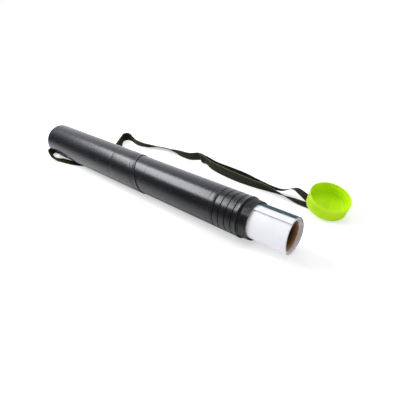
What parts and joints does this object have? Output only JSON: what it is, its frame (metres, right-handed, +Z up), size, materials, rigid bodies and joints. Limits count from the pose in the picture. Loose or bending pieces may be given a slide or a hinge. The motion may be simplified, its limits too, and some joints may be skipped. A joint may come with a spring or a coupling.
{
  "type": "drawing tube",
  "caption": "Telescopic plastic tube for rolled drawings, with a slanted slide joint, grooved collar and screw neck, a screw cap, and an adjustable webbing shoulder strap.",
  "frame": {"origin": "centre of the closed end's face, on the tube's axis", "axes": "+X along the tube's axis from the closed end towards the mouth, +Z up with the tube lying on its side, +Y towards the side where the strap and cap lie"},
  "size_m": [0.7887, 0.2836, 0.0862],
  "materials": {
    "tube_plastic": "satin black extruded plastic with fine scuffs along the axis",
    "moulded_plastic": "satin black moulded plastic",
    "cap_plastic": "lime green moulded plastic, knurled outside",
    "webbing": "woven dark olive webbing",
    "ring_rubber": "matt black rubber",
    "white_paper": "matt white drawing paper",
    "kraft_paper": "brown kraft paper",
    "teal_paper": "dark petrol-blue coated paper"
  },
  "bodies": {
    "outer": {"outer_tube": "tube_plastic", "base_plug": "moulded_plastic", "base_bracket": "moulded_plastic", "base_retainer": "moulded_plastic", "strap_main": "webbing"},
    "slide_ring": {"friction_ring": "ring_rubber"},
    "inner": {"inner_tube": "tube_plastic", "neck_collar": "moulded_plastic"},
    "drawings": {"white_roll": "white_paper", "kraft_roll": "kraft_paper", "teal_sheet": "teal_paper"},
    "strap_end": {"strap_loop": "webbing"},
    "slider": {"strap_slider": "moulded_plastic"},
    "cap_swivel": {"cap_bracket": "moulded_plastic"},
    "cap": {"cap_shell": "cap_plastic", "cap_retainer": "moulded_plastic"}
  },
  "joints": [
    {"name": "tube_extend", "type": "slide", "parent": "outer", "child": "slide_ring", "axis": [1, 0, 0], "range_m": [-0.245, 0]},
    {"name": "tube_twist", "type": "hinge", "parent": "slide_ring", "child": "inner", "pos_m": [0.3, 0, 0], "axis": [1, 0, 0], "range_deg": [-45, 45]},
    {"name": "drawings_push", "type": "slide", "parent": "inner", "child": "drawings", "axis": [-1, 0, 0], "range_m": [-0.12, 0.077]},
    {"name": "cap_seat", "type": "slide", "parent": "outer", "child": "strap_end", "axis": [-1, 0, 0], "range_m": [0, 0.108], "deforming": ["strap_main"]},
    {"name": "slider_adjust", "type": "slide", "parent": "strap_end", "child": "slider", "axis": [0.9913, -0.1315, 0], "range_m": [-0.02, 0.03]},
    {"name": "cap_bring", "type": "hinge", "parent": "strap_end", "child": "cap_swivel", "pos_m": [0.74585, 0.09219, -0.00099], "axis": [0.5856, 0.1321, -0.7997], "range_deg": [0, 179.26], "deforming": ["strap_loop"]},
    {"name": "cap_turn", "type": "hinge", "parent": "cap_swivel", "child": "cap", "pos_m": [0.7157, 0.1893, -0.0279], "axis": [0.314, -0.165, 0.935], "continuous": true}
  ]
}
